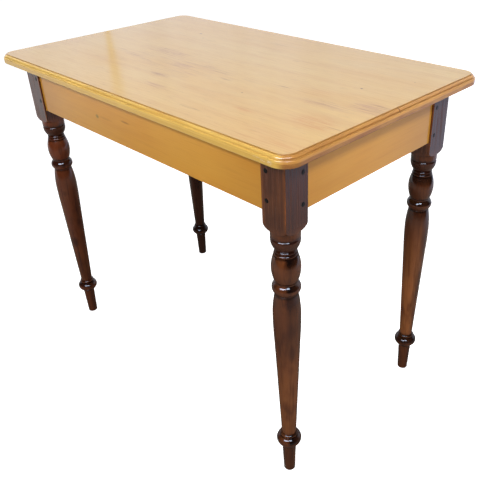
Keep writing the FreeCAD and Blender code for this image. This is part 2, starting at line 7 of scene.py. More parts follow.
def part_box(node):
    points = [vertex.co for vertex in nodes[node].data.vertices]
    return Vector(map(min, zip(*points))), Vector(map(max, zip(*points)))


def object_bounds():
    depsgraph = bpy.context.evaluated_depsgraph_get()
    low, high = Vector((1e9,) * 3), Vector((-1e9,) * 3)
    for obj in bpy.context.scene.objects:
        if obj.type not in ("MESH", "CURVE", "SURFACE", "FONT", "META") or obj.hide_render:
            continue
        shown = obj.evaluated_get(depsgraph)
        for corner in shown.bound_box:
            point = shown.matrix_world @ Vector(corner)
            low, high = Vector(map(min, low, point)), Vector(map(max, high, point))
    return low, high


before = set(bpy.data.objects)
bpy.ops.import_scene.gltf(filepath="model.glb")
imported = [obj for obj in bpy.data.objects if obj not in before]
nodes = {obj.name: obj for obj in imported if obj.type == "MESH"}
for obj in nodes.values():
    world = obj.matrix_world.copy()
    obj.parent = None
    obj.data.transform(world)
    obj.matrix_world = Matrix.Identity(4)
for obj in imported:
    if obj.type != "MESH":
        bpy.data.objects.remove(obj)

cad_low, cad_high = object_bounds()

# Lengths are in metres. A pair that is given to fade says where an effect is nil and where it is full.

# Least number that is safe to divide by
NOT_NOUGHT = 0.001

# Places that the materials need, read from the model's parts
TOP_HALF = Vector((cad_high.x, cad_high.y))
TOP_HIGH = cad_high.z
RAIL_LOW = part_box("rail_front")[0].z
JOINT_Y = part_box("top_board_front")[1].y

# Rounded outline of the top, and the lines inside it where the flat and the bead end, which take dirt and
# painted shade
CORNER_RADIUS = 0.031
FIELD_INSET = 0.008
BEAD_INSET = 0.0028
EDGE_FROM = (FIELD_INSET + 0.0006, FIELD_INSET - 0.0004)
QUIRK = (FIELD_INSET - 0.0006, FIELD_INSET + 0.0003)
UNDER_BEAD = (BEAD_INSET - 0.0004, BEAD_INSET + 0.0001)

# Moulding of the top, as depths below its face; some mark where painted highlights lie on the upper bead and
# the nose, painted shade in a groove line and under the nose, and painted light on the lip
UPPER_BEAD_HIGHLIGHT_UNTIL = (0.0060, 0.0045)
GROOVE_SHADE = (0.0054, 0.0066)
BEAD_UNTIL = (0.0090, 0.0070)
NOSE = (0.0085, 0.0120)
UNDER_NOSE_FROM = (0.0118, 0.0140)
LIP_LIGHT_FROM = (0.0170, 0.0195)

# Where a painted sheen lies on the moulding along its sides, where it is darker at its ends and has painted
# shade under its nose, and where its joint shows
SHEEN_AT_LEFT = (0.04, -0.12)
DARK_AT_FRONT = (0.02, -0.24)
SHADE_UNDER_NOSE = (0.16, -0.12)
JOINT_SHOWS_AT_RIGHT = (0.0, 0.1)
JOINT_EDGE = (0.0018, 0.0006)
# How far a face of the moulding turns to the end before it shows end grain
END_GRAIN_FROM = (0.20, 0.70)

# Camera, from a fit to the photograph's edges: pixels are those of the 480 by 480 frame
IMAGE_SIDE = 480
FOCAL_PIXELS = 612.12
AXIS_PIXEL = (266.67, 217.34)
CAMERA_TARGET = Vector((0.1100, 0.0241, 0.4000))
CAMERA_DISTANCE = 1.42124
CAMERA_AZIMUTH = math.radians(46.02)
CAMERA_ELEVATION = math.radians(29.48)
CAMERA_ROLL = math.radians(-2.03)
SENSOR = 36.0


# Nodes

class Graph:
    """A node tree whose nodes take numbers, colours or other nodes' outputs alike."""

    def __init__(self, tree):
        self.tree = tree
        tree.nodes.clear()

    def feed(self, socket, value):
        if isinstance(value, bpy.types.NodeSocket):
            self.tree.links.new(value, socket)
        else:
            socket.default_value = value

    def node(self, kind, inputs=None, **settings):
        made = self.tree.nodes.new("ShaderNode" + kind)
        for name, value in settings.items():
            setattr(made, name, value)
        for name, value in (inputs or {}).items():
            self.feed(made.inputs[name], value)
        return made

    def math(self, operation, *values, clamp=False):
        made = self.node("Math", operation=operation, use_clamp=clamp)
        for socket, value in zip(made.inputs, values):
            self.feed(socket, value)
        return made.outputs[0]

    def add(self, first, second):
        return self.math("ADD", first, second)

    def less(self, first, second):
        return self.math("SUBTRACT", first, second)

    def times(self, first, second):
        return self.math("MULTIPLY", first, second)

    def over(self, first, second):
        return self.math("DIVIDE", first, second)

    def larger(self, first, second):
        return self.math("MAXIMUM", first, second)

    def smaller(self, first, second):
        return self.math("MINIMUM", first, second)

    def absolute(self, value):
        return self.math("ABSOLUTE", value)

    def root_of_squares(self, first, second):
        squares = [self.math("POWER", value, 2.0) for value in (first, second)]
        return self.math("SQRT", self.add(*squares))

    def blend(self, factor, first, second):
        """A number that goes from the first to the second as the factor goes from 0 to 1."""
        return self.add(self.times(second, factor), self.times(self.less(1.0, factor), first))

    def fade(self, value, start, end):
        """0 up to start, 1 from end on, smooth between; start may be the larger."""
        flipped = start > end
        low, high = (end, start) if flipped else (start, end)
        sides = {"Value": value, "From Min": low, "From Max": high}
        sides.update({"To Min": float(flipped), "To Max": float(not flipped)})
        return self.node("MapRange", sides, interpolation_type="SMOOTHSTEP").outputs[0]

    def band(self, value, low, high, soft):
        """1 between two values, fading to 0 outside them."""
        return self.times(self.fade(value, low - soft, low), self.fade(value, high + soft, high))

    def rise(self, value, least, more, between):
        """A number that grows from the least by so much more as a value passes between two others."""
        return self.add(least, self.times(self.fade(value, *between), more))

    def parts(self, vector):
        return self.node("SeparateXYZ", {"Vector": vector}).outputs

    def vector(self, x, y, z):
        return self.node("CombineXYZ", {"X": x, "Y": y, "Z": z}).outputs[0]

    def vector_math(self, operation, *values):
        made = self.node("VectorMath", operation=operation)
        for socket, value in zip(made.inputs, values):
            self.feed(socket, value)
        return made.outputs

    def distance_from(self, place, centre, halves):
        """Distance from a centre, with each axis measured in its own half size, or left out if that is 0."""
        from_centre = self.vector_math("SUBTRACT", place, centre)[0]
        scales = [1 / half if half else 0.0 for half in halves]
        return self.vector_math("LENGTH", self.vector_math("MULTIPLY", from_centre, scales)[0])["Value"]

    def figure(self, place, repeats, detail=3.0, roughness=0.55):
        """Noise from 0 to 1, with its own number of repeats per metre along each axis."""
        stretched = self.vector_math("MULTIPLY", place, repeats)[0]
        sides = {"Vector": stretched, "Scale": 1.0, "Detail": detail, "Roughness": roughness}
        return self.node("TexNoise", sides).outputs["Fac"]

    def swing(self, noise, reach):
        """Noise turned into a number that swings about nought."""
        return self.times(self.less(noise, 0.5), reach)

    def mix(self, factor, first, second):
        made = self.node("Mix", data_type="RGBA")
        self.feed(made.inputs["Factor"], factor)
        self.feed(made.inputs[6], first)
        self.feed(made.inputs[7], second)
        return made.outputs[2]

    def stain(self, wood, colour, amount, between=None, strength=1.0):
        """A colour laid over the wood by an amount, or where that amount passes between two values; it lays
        stains, and painted light and shade too.
        """
        if between:
            amount = self.fade(amount, *between)
        return self.mix(self.times(amount, strength), wood, colour)

    def bump(self, height, distance, strength):
        sides = {"Height": height, "Distance": distance, "Strength": strength}
        return self.node("Bump", sides).outputs[0]

    def place(self):
        return self.node("TexCoord").outputs["Object"]

    def face(self):
        return self.parts(self.node("NewGeometry").outputs["Normal"])

    def shade(self, colour, roughness, normal, **constants):
        sides = {"Base Color": colour, "Roughness": roughness, "Normal": normal}
        shader = self.node("BsdfPrincipled", sides)
        for name, value in constants.items():
            shader.inputs[name].default_value = value
        self.show(shader.outputs[0], "OutputMaterial")

    def show(self, shader, output):
        self.tree.links.new(shader, self.node(output).inputs["Surface"])


def colour(red, green, blue):
    """A colour given as it looks on a screen, 0 to 255, in the shader's linear values."""
    def linear(value):
        value = value / 255
        return value / 12.92 if value <= 0.04045 else ((value + 0.055) / 1.055) ** 2.4
    return (linear(red), linear(green), linear(blue), 1.0)


# Colours of the finishes, and of the painted light and shade laid on them, as they look on a screen under
# white light
TOP_PALE = colour(214, 179, 113)
TOP_GOLD = colour(212, 171, 99)
TOP_BROWN = colour(194, 144, 82)
TOP_RED = colour(194, 128, 70)
TOP_MAUVE = colour(176, 128, 92)
TOP_LINE = colour(130, 92, 62)
TOP_DOT = colour(70, 50, 34)
EDGE_GOLD = colour(223, 184, 98)
EDGE_PALE = colour(238, 200, 108)
EDGE_AMBER = colour(217, 173, 88)
EDGE_BROWN = colour(160, 110, 46)
EDGE_BAND = colour(212, 166, 70)
END_ORANGE = colour(203, 147, 77)
END_BROWN = colour(180, 124, 68)
END_PALE = colour(223, 163, 84)
END_DARK = colour(110, 66, 34)
SCUFF = colour(226, 214, 190)
QUIRK_DIRT_AND_SHADE = colour(138, 90, 40)
RAIL_GOLD = colour(213, 154, 56)
RAIL_AMBER = colour(210, 147, 48)
RAIL_BROWN = colour(186, 120, 40)
RAIL_LINE = colour(140, 86, 32)
RAIL_KNOT = colour(136, 116, 46)
LEG_BLACK = colour(18, 7, 5)
LEG_DARK = colour(46, 19, 12)
LEG_RED = colour(90, 47, 24)
LEG_ORANGE = colour(116, 66, 34)
LEG_CHERRY = colour(128, 62, 34)
LEG_WORN = colour(150, 84, 36)
LEG_PALE = colour(146, 88, 48)
PEG_BLACK = colour(6, 6, 7)
PEG_BROWN = colour(18, 15, 15)
INNER_PALE = colour(206, 168, 116)
INNER_GOLD = colour(190, 148, 94)
INNER_LINE = colour(160, 110, 60)
STEEL = colour(150, 148, 144)
STEEL_STAIN = colour(96, 84, 70)


def new_material(name):
    material = bpy.data.materials.new(name)
    material.use_nodes = True
    return material, Graph(material.node_tree)


def dress(material, *names):
    for name in names:
        slots = nodes[name].data.materials
        slots.clear()
        slots.append(material)


# Wood

# Edges of marks and scuffs, in their half sizes
MARK_EDGE = (1.25, 0.25)
SCUFF_EDGE = (1.3, 0.3)
# How slowly a year's ring darkens, and where in its width its dark line ends
RING_POWER = 2.5
RING_ENDS = (1.0, 0.90)


def marks(graph, grain, places, ragged):
    """Soft patches on a face, each full in its middle, from a list of centres, half sizes and strengths."""
    total = 0.0
    for centre, halves, strength in places:
        reach = graph.add(graph.distance_from(grain, (*centre, 0), (*halves, 0)), ragged)
        total = graph.larger(graph.times(graph.fade(reach, *MARK_EDGE), strength), total)
    return total


def growth_rings(graph, grain, pith, tilt, spacing, wander):
    """0 in pale early wood, rising to 1 at the dark line that ends each year's ring."""
    along, across, through = graph.parts(grain)
    bend = graph.swing(graph.figure(grain, (3.0, 12.0, 12.0), detail=1.0), wander)
    side = graph.add(graph.less(across, pith[0]), bend)
    depth = graph.add(graph.less(through, pith[1]), graph.times(along, tilt))
    ring = graph.math("FRACT", graph.over(graph.root_of_squares(side, depth), spacing))
    return graph.times(graph.math("POWER", ring, RING_POWER), graph.fade(ring, *RING_ENDS))


# Marks on the flat of the top: centre, half length and half width, strength
MAUVE_MARKS = [
    ((-0.150, -0.014), (0.092, 0.022), 0.95),
    ((-0.034, -0.064), (0.044, 0.017), 1.00),
    ((0.020, -0.098), (0.036, 0.014), 0.60),
    ((-0.022, -0.136), (0.036, 0.011), 0.95),
    ((0.032, -0.184), (0.042, 0.013), 0.75),
    ((0.350, -0.065), (0.055, 0.018), 1.00),
    ((0.425, -0.030), (0.045, 0.030), 0.90),
    ((-0.440, -0.178), (0.035, 0.016), 0.80),
    ((-0.190, -0.076), (0.055, 0.014), 0.50),
    ((-0.060, -0.060), (0.170, 0.075), 0.40),
]
RED_MARKS = [
    ((0.390, -0.138), (0.052, 0.032), 1.00),
    ((0.264, -0.171), (0.026, 0.010), 0.50),
    ((0.300, -0.020), (0.040, 0.022), 0.40),
    ((-0.400, -0.110), (0.060, 0.030), 0.30),
    ((0.400, -0.240), (0.090, 0.045), 0.45),
]
DARK_LINES = [
    ((0.032, -0.0415), (0.050, 0.0042), 0.95),
    ((0.074, -0.050), (0.028, 0.0040), 0.55),
    ((0.114, -0.073), (0.020, 0.0045), 0.70),
    ((0.160, -0.052), (0.026, 0.0040), 0.40),
    ((0.231, -0.037), (0.016, 0.0045), 0.60),
    ((-0.016, -0.140), (0.026, 0.0050), 0.55),
    ((-0.255, -0.068), (0.022, 0.0040), 0.50),
    ((-0.195, -0.080), (0.026, 0.0040), 0.35),
    ((0.184, -0.2235), (0.036, 0.0028), 1.00),
    ((0.432, -0.012), (0.026, 0.0030), 0.60),
    ((0.440, -0.036), (0.020, 0.0030), 0.50),
    ((0.129, 0.108), (0.010, 0.0045), 0.80),
    ((0.010, 0.184), (0.034, 0.0050), 0.45),
    ((0.436, -0.140), (0.020, 0.0026), 0.40),
]
DARK_DOTS = [
    ((-0.228, 0.145), (0.0060, 0.0022), 0.85),
    ((-0.188, 0.118), (0.0050, 0.0018), 0.35),
    ((0.348, 0.046), (0.0030, 0.0022), 0.95),
    ((0.402, 0.136), (0.0024, 0.0020), 0.45),
    ((0.196, -0.110), (0.0030, 0.0022), 0.55),
]
# Where the lower edge of the top is scuffed, beside its near corner: centres, half sizes, strengths
SCUFFS = [
    ((0.4020, -TOP_HALF.y, TOP_HIGH - 0.0125), (0.0090, 0.010, 0.0016), 0.45),
    ((0.4150, -TOP_HALF.y, TOP_HIGH - 0.0145), (0.0080, 0.010, 0.0022), 0.60),
    ((0.4290, -TOP_HALF.y, TOP_HIGH - 0.0140), (0.0055, 0.010, 0.0038), 1.00),
]
# How much rougher the moulding and the scuffs are than the flat, and how far its fibres and rings stand out
EDGE_ROUGHER = 0.06
SCUFF_ROUGHER = 0.3
FIBRE_RELIEF = 0.25
RING_RELIEF = 0.3


def inset_from_outline(graph, place):
    """How far a point lies inside the rounded outline of the top."""
    x, y, _ = graph.parts(place)
    over_x = graph.less(graph.absolute(x), TOP_HALF.x - CORNER_RADIUS)
    over_y = graph.less(graph.absolute(y), TOP_HALF.y - CORNER_RADIUS)
    corner = graph.root_of_squares(graph.larger(over_x, 0.0), graph.larger(over_y, 0.0))
    straight = graph.smaller(graph.larger(over_x, over_y), 0.0)
    return graph.less(CORNER_RADIUS, graph.add(corner, straight))


def top_field(graph, place, pith, tilt):
    """Colour of the flat of the top, and its fibres and rings for the relief."""
    streak = graph.figure(place, (3.5, 45.0, 45.0), detail=4.0, roughness=0.6)
    cloud = graph.figure(place, (3.0, 7.0, 7.0))
    fibre = graph.figure(place, (16.0, 800.0, 800.0), detail=4.0, roughness=0.65)
    fleck = graph.figure(place, (13.0, 240.0, 240.0), roughness=0.6)
    pores = graph.figure(place, (30.0, 360.0, 360.0), detail=1.0)
    rings = growth_rings(graph, place, pith, tilt, spacing=0.0062, wander=0.045)
    ragged = graph.swing(graph.figure(place, (30.0, 220.0, 220.0)), 1.1)
    broken = graph.rise(fleck, least=0.30, more=1.1, between=(0.42, 0.64))
    mauve = graph.times(marks(graph, place, MAUVE_MARKS, ragged), broken)
    red = graph.times(marks(graph, place, RED_MARKS, ragged), broken)
    lines = graph.times(marks(graph, place, DARK_LINES, ragged), broken)
    pored = graph.add(0.17, graph.times(mauve, 0.45))
    ringed = graph.add(0.07, graph.times(mauve, 0.22))
    wood = graph.mix(graph.fade(cloud, 0.30, 0.70), TOP_PALE, TOP_GOLD)
    wood = graph.stain(wood, TOP_BROWN, streak, between=(0.40, 0.75), strength=0.30)
    wood = graph.stain(wood, TOP_BROWN, fleck, between=(0.50, 0.72), strength=0.26)
    wood = graph.stain(wood, TOP_RED, red, strength=0.50)
    wood = graph.stain(wood, TOP_MAUVE, mauve, strength=0.47)
    wood = graph.stain(wood, TOP_LINE, pores, between=(0.60, 0.74), strength=pored)
    wood = graph.stain(wood, TOP_LINE, rings, strength=ringed)
    wood = graph.stain(wood, TOP_LINE, fibre, between=(0.46, 0.30), strength=0.20)
    wood = graph.stain(wood, TOP_LINE, lines, strength=0.62)
    wood = graph.stain(wood, TOP_DOT, marks(graph, place, DARK_DOTS, 0.0))
    return wood, fibre, rings


def side_moulding(graph, place, depth, nose_highlight):
    """Colour of the moulding along the grain, with a painted sheen on its bead at the left, a painted
    highlight on its nose and painted light on its lip.
    """
    fine = graph.figure(place, (9.0, 30.0, 1300.0), detail=4.0, roughness=0.6)
    broad = graph.figure(place, (9.0, 30.0, 170.0))
    speck = graph.figure(place, (170.0, 170.0, 260.0), detail=2.0)
    on_bead = graph.fade(depth, *BEAD_UNTIL)
    sheen_at_left = graph.fade(graph.parts(place)[0], *SHEEN_AT_LEFT)
    wood = graph.mix(graph.fade(broad, 0.35, 0.65), EDGE_GOLD, EDGE_AMBER)
    wood = graph.stain(wood, EDGE_BAND, graph.less(1.0, on_bead), strength=0.60)
    # Painted sheen on the bead at the left, painted highlight on the nose, painted light on the lip
    wood = graph.stain(wood, EDGE_PALE, graph.times(on_bead, sheen_at_left), strength=0.50)
    wood = graph.stain(wood, EDGE_PALE, nose_highlight, strength=0.35)
    wood = graph.stain(wood, EDGE_PALE, depth, between=LIP_LIGHT_FROM, strength=0.50)
    wood = graph.stain(wood, EDGE_BROWN, fine, between=(0.50, 0.32), strength=0.45)
    return graph.stain(wood, EDGE_BROWN, speck, between=(0.70, 0.78), strength=0.60)


def end_moulding(graph, place, depth, nose_highlight):
    """Colour of the moulding across the grain, darker towards the front, with painted highlights on its
    upper bead and nose, and painted shade in a groove line and under its nose.
    """
    fine = graph.figure(place, (500.0, 34.0, 800.0), detail=4.0, roughness=0.65)
    broad = graph.figure(place, (60.0, 17.0, 120.0))
    y = graph.parts(place)[1]
    groove_shade = graph.band(depth, *GROOVE_SHADE, soft=0.0008)
    shade_under_nose = graph.rise(y, least=0.18, more=0.18, between=SHADE_UNDER_NOSE)
    wood = graph.mix(graph.fade(broad, 0.35, 0.65), END_ORANGE, END_BROWN)
    wood = graph.stain(wood, END_DARK, fine, between=(0.52, 0.34), strength=0.45)
    # Painted highlights on the upper bead and the nose; painted shade under the nose, more towards the
    # front, and in a groove line
    wood = graph.stain(wood, END_PALE, depth, between=UPPER_BEAD_HIGHLIGHT_UNTIL, strength=0.40)
    wood = graph.stain(wood, END_PALE, nose_highlight, strength=0.65)
    wood = graph.stain(wood, END_DARK, depth, between=UNDER_NOSE_FROM, strength=shade_under_nose)
    wood = graph.stain(wood, END_DARK, y, between=DARK_AT_FRONT, strength=0.25)
    return graph.stain(wood, END_DARK, groove_shade, strength=0.20)


def joint_tick(graph, place, depth):
    """The joint between the boards, which shows in the bead of the right end."""
    x, y, _ = graph.parts(place)
    near = graph.fade(graph.absolute(graph.less(y, JOINT_Y)), *JOINT_EDGE)
    on_bead = graph.fade(depth, *BEAD_UNTIL)
    return graph.times(near, graph.times(on_bead, graph.fade(x, *JOINT_SHOWS_AT_RIGHT)))


def scuffs(graph, place):
    """Chipped varnish at the scuffs."""
    chip = graph.figure(place, (260.0, 260.0, 700.0), detail=4.0, roughness=0.7)
    knocked = 0.0
    for centre, halves, strength in SCUFFS:
        spot = graph.fade(graph.distance_from(place, centre, halves), *SCUFF_EDGE)
        knocked = graph.larger(graph.times(spot, strength), knocked)
    return graph.times(knocked, graph.fade(chip, 0.40, 0.60))


def top_edge(graph, place, scuff):
    """Colour of the moulded edge: long grain at the sides, end grain at the ends, knocks at one corner."""
    depth = graph.less(TOP_HIGH, graph.parts(place)[2])
    nose_highlight = graph.band(depth, *NOSE, soft=0.0012)
    side, front, _ = graph.face()
    level = graph.larger(graph.root_of_squares(side, front), NOT_NOUGHT)
    at_end = graph.fade(graph.absolute(graph.over(side, level)), *END_GRAIN_FROM)
    golden = side_moulding(graph, place, depth, nose_highlight)
    orange = end_moulding(graph, place, depth, nose_highlight)
    wood = graph.mix(at_end, golden, orange)
    wood = graph.stain(wood, END_DARK, joint_tick(graph, place, depth), strength=0.80)
    return graph.stain(wood, SCUFF, scuff, strength=0.60)


def top_material(name, pith, tilt):
    material, graph = new_material(name)
    place = graph.place()
    scuff = scuffs(graph, place)
    inset = inset_from_outline(graph, place)
    on_edge = graph.fade(inset, *EDGE_FROM)
    field, fibre, rings = top_field(graph, place, pith, tilt)
    wood = graph.mix(on_edge, field, top_edge(graph, place, scuff))
    # Dirt and painted shade in the quirk round the flat, and a little painted shade under the bead
    wood = graph.stain(wood, QUIRK_DIRT_AND_SHADE, graph.band(inset, *QUIRK, soft=0.0010), strength=0.48)
    wood = graph.stain(wood, QUIRK_DIRT_AND_SHADE, graph.band(inset, *UNDER_BEAD, soft=0.0008), strength=0.12)
    haze = graph.figure(place, (6.0, 10.0, 10.0), detail=4.0)
    gloss = graph.rise(haze, least=0.065, more=0.06, between=(0.35, 0.75))
    gloss = graph.add(gloss, graph.times(on_edge, EDGE_ROUGHER))
    gloss = graph.add(gloss, graph.times(scuff, SCUFF_ROUGHER))
    relief = graph.add(graph.times(fibre, FIBRE_RELIEF), graph.times(rings, RING_RELIEF))
    normal = graph.bump(graph.less(relief, scuff), distance=0.00005, strength=0.15)
    graph.shade(wood, gloss, normal, IOR=1.5)
    return material


# Marks on the front rail, on its face seen from the front
RAIL_KNOTS = [((-0.127, 0.662), (0.0065, 0.0050), 0.9)]
RAIL_LINES = [((-0.021, 0.674), (0.016, 0.0028), 0.6), ((-0.095, 0.664), (0.030, 0.0030), 0.2)]
# How far from a leg the painted shade on its rails begins
RAIL_SHADE_REACH = 0.16


def rail_material(name, along, leg_face, marked):
    """Smooth varnished wood along one axis, with painted shade towards the legs."""
    material, graph = new_material(name)
    place = graph.place()
    x, y, z = graph.parts(place)
    grain = graph.vector(x, z, y) if along == "X" else graph.vector(y, z, x)
    off_middle = graph.absolute(x if along == "X" else y)
    streak = graph.figure(grain, (3.0, 60.0, 60.0), detail=4.0, roughness=0.6)
    cloud = graph.figure(grain, (4.0, 12.0, 12.0), detail=2.0)
    fibre = graph.figure(grain, (12.0, 300.0, 300.0), detail=2.0)
    rings = growth_rings(graph, grain, pith=(0.30, -0.10), tilt=0.004, spacing=0.0045, wander=0.004)
    wood = graph.mix(graph.fade(cloud, 0.30, 0.70), RAIL_GOLD, RAIL_AMBER)
    wood = graph.stain(wood, RAIL_BROWN, streak, between=(0.45, 0.75), strength=0.22)
    wood = graph.stain(wood, RAIL_LINE, rings, strength=0.04)
    # Painted shade on the rail towards each leg
    shade_towards_leg = (leg_face - RAIL_SHADE_REACH, leg_face)
    wood = graph.stain(wood, RAIL_LINE, off_middle, between=shade_towards_leg, strength=0.22)
    wood = graph.stain(wood, RAIL_LINE, fibre, between=(0.46, 0.30), strength=0.08)
    if marked:
        ragged = graph.swing(graph.figure(grain, (90.0, 300.0, 300.0)), 0.8)
        facing = graph.fade(graph.face()[1], -0.5, -0.9)
        wood = graph.stain(wood, RAIL_LINE, marks(graph, grain, RAIL_LINES, ragged), strength=facing)
        wood = graph.stain(wood, RAIL_KNOT, marks(graph, grain, RAIL_KNOTS, ragged), strength=facing)
    haze = graph.figure(place, (8.0, 8.0, 12.0), detail=1.0)
    gloss = graph.rise(haze, least=0.17, more=0.05, between=(0.35, 0.75))
    graph.shade(wood, gloss, graph.bump(fibre, distance=0.00003, strength=0.1), IOR=1.48)
    return material


# Sheets of dark grain through the legs, square to this direction, and how far they wander
LEG_SHEETS = (math.sqrt(0.5), math.sqrt(0.5))
LEG_SHEET_SPACING = 0.050
LEG_SHEET_WANDER = 0.006
# Heights on the legs
HEAD_FROM = (RAIL_LOW - 0.035, RAIL_LOW - 0.015)
WARMER_FROM = (0.42, 0.50)
SHAFT_FROM = (0.095, 0.125)
SHAFT_PALES_OVER = 0.20
# The cup under the head, which takes stain and a painted shadow of the head
SHADED_CUP = (0.546, 0.570)
# How far beside an edge of the head the stain is worn
WORN_WIDTH = 0.0075
# How light the wood is at the start of a sheet, where no sheet shows, and on the head
SHEET_LIGHT = 0.25
PLAIN_LIGHT = 0.75
HEAD_LIGHT = 0.66
# How soon a pale shaft hides the sheets, and how the painted shade on the shoulders thins out where the wood
# is lighter
PALE_HIDES = 1.35
SHOULDER_SHADE_BY_LIGHT = (-2.0, 1.5)
# How each leg took the stain, and the painted shade laid on it: how dark the painted shade is all over; how
# warm, and with what tint; how dark the painted shade on its upper shoulders is, and the least of that shade
# beside the dark sheets; how pale its lower shaft is, and below what height; how far beside its axis a sheet
# of grain lies, and how much that shows
LEG_STAINS_AND_SHADE = {
    "front_right": dict(
        dark=0.0, warm=0.30, tint=LEG_ORANGE, shoulders=1.0, least_shoulder_shade=0.0,
        pale=0.55, pale_below=0.40, sheet=0.007, shows=1.4),
    "back_right": dict(
        dark=0.0, warm=0.10, tint=LEG_ORANGE, shoulders=0.9, least_shoulder_shade=0.8,
        pale=0.85, pale_below=0.46, sheet=0.018, shows=0.9),
    "front_left": dict(
        dark=0.0, warm=0.52, tint=LEG_CHERRY, shoulders=0.2, least_shoulder_shade=0.0,
        pale=0.0, pale_below=0.40, sheet=0.014, shows=0.0),
    "back_left": dict(
        dark=0.5, warm=0.0, tint=LEG_ORANGE, shoulders=0.9, least_shoulder_shade=0.8,
        pale=0.0, pale_below=0.40, sheet=0.0, shows=1.0),
}
# Dark places on the legs that show most: some are blotches of stain, and some are painted shade, under the
# near leg's ring, down the right side of the back right shaft, and on the front left leg's cup and the upper
# halves of its ring and ball.
# Each has a height and place beside the axis, half sizes, strength
LEG_SPOTS_AND_SHADE = {
    "front_right": [
        ((0.444, 0.006), (0.012, 0.016), 1.20),
        ((0.385, 0.008), (0.024, 0.011), 0.60),
        ((0.331, 0.008), (0.022, 0.008), 0.80),
        ((0.288, 0.006), (0.014, 0.007), 0.40),
        ((0.235, 0.009), (0.020, 0.004), 0.40),
    ],
    "back_right": [
        ((0.370, 0.0150), (0.080, 0.0085), 1.00),
        ((0.260, 0.0130), (0.085, 0.0080), 1.00),
        ((0.165, 0.0110), (0.065, 0.0068), 0.95),
    ],
    "front_left": [
        ((0.560, 0.000), (0.015, 0.060), 0.60),
        ((0.475, 0.000), (0.010, 0.060), 1.30),
        ((0.392, 0.001), (0.010, 0.008), 0.50),
        ((0.242, -0.005), (0.020, 0.011), 1.00),
        ((0.155, 0.000), (0.055, 0.020), 0.50),
        ((0.099, 0.000), (0.007, 0.060), 1.30),
    ],
    "back_left": [],
}
# Grooves between the turnings, darkened by gathered stain and painted shade: height and half width
LEG_GROOVES = [
    (0.5722, 0.0032), (0.5470, 0.0050), (0.5410, 0.0025), (0.5350, 0.0030), (0.4825, 0.0040),
    (0.4550, 0.0040), (0.1088, 0.0025), (0.1018, 0.0025), (0.0774, 0.0025),
]


def beside_axis(graph, place, middle):
    """How far a point lies beside the axis of its leg, square to the sheets of grain."""
    x, y, _ = graph.parts(place)
    across = graph.add(graph.times(x, LEG_SHEETS[0]), graph.times(y, LEG_SHEETS[1]))
    return graph.less(across, LEG_SHEETS[0] * middle.x + LEG_SHEETS[1] * middle.y)


def sheet_light(graph, grain, across, sheet):
    """How light the wood is across each sheet of grain: dark at its start, palest before its end."""
    slow = graph.figure(grain, (4.0, 10.0, 10.0))
    past_sheet = graph.add(graph.less(across, sheet), graph.swing(slow, LEG_SHEET_WANDER))
    layer = graph.math("FRACT", graph.over(past_sheet, LEG_SHEET_SPACING))
    light = graph.add(SHEET_LIGHT, graph.times(layer, 1 - SHEET_LIGHT))
    return graph.times(light, graph.fade(layer, 1.0, 0.72))


def leg_wear(graph, place, middle, half):
    """Where the stain is rubbed off the edges of a leg's square head."""
    x, y, _ = graph.parts(place)
    side, front, _ = graph.face()
    off_x = graph.absolute(graph.less(x, middle.x))
    off_y = graph.absolute(graph.less(y, middle.y))
    beside = graph.fade(graph.smaller(off_x, off_y), half - WORN_WIDTH, half)
    beside = graph.times(beside, graph.fade(graph.absolute(front), 0.5, 0.9))
    on_edge = graph.fade(graph.absolute(graph.times(side, front)), 0.15, 0.35)
    return graph.larger(graph.times(on_edge, 0.65), graph.times(beside, 0.40))


